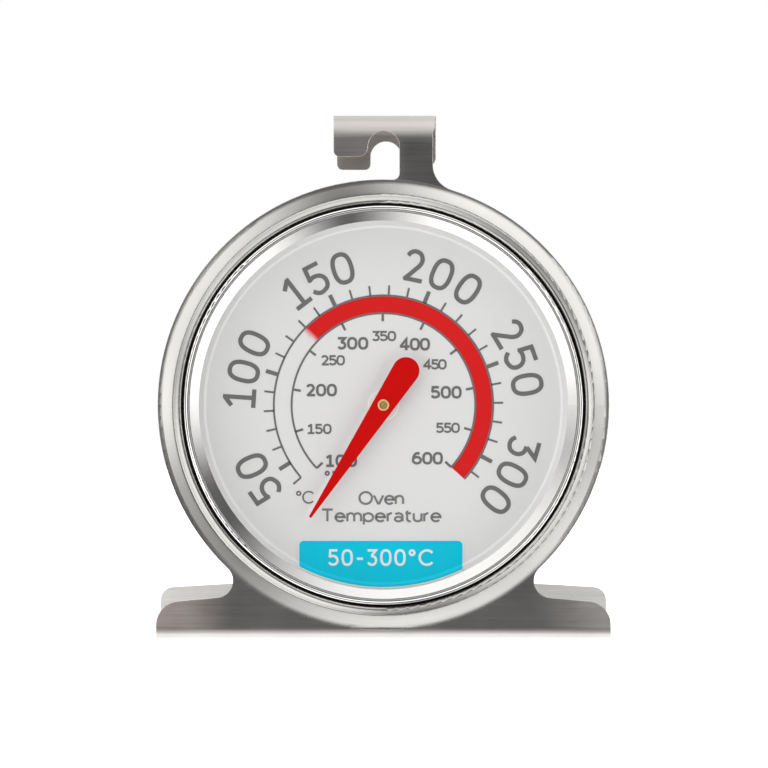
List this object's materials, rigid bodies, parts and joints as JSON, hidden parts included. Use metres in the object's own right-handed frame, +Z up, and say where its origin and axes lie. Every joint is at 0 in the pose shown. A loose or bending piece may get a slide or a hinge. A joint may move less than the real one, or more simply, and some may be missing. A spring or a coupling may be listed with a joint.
{
  "type": "oven thermometer",
  "caption": "Round bimetal oven thermometer with a red pointer behind glass, held in a folded steel stand with a foot and a hook.",
  "frame": {"origin": "on the resting face, under the middle of the bounding box", "axes": "+Z up, -Y out of the dial towards the reader, +X to the reader's right"},
  "size_m": [0.0624, 0.034, 0.0718],
  "materials": {
    "stand_steel": "stainless sheet, brushed along the foot and hook and turned round the ring",
    "spring_steel": "plain spring steel",
    "case_steel": "drawn stainless steel, satin",
    "rivet_steel": "satin",
    "polished_steel": "polished",
    "seal": "matt black high-temperature seal",
    "glass": "clear and flat",
    "reflector": "mirror-bright funnel",
    "dial_enamel": "satin white with printed scales",
    "eyelet_metal": "satin",
    "bridge_metal": "plain stamped brass",
    "brass": "turned",
    "bimetal": "plain rolled strip",
    "pointer_red": "gloss red"
  },
  "bodies": {
    "stand": {"stand_frame": "stand_steel", "retaining_ring": "spring_steel", "head_case": "case_steel", "rear_cover": "case_steel", "cover_rivets": "rivet_steel", "bezel_ring": "polished_steel", "lens_seal": "seal", "glass_lens": "glass", "reflector_ring": "reflector", "dial_plate": "dial_enamel", "dial_eyelet": "eyelet_metal", "movement_bridge": "bridge_metal", "bridge_rivets": "rivet_steel", "front_bearing": "brass", "rear_bearing": "brass", "anchor_stud": "brass", "bimetal_coil": "bimetal"},
    "needle": {"pointer": "pointer_red", "pointer_boss": "brass", "arbor": "brass", "coil_collet": "brass"}
  },
  "joints": [
    {"name": "pointer_turn", "type": "hinge", "parent": "stand", "child": "needle", "pos_m": [0, -0.011, 0.032], "axis": [0, 1, 0], "range_deg": [-22, 282], "stiffness_Nm_per_rad": 0.001, "deforming": ["bimetal_coil"]}
  ]
}
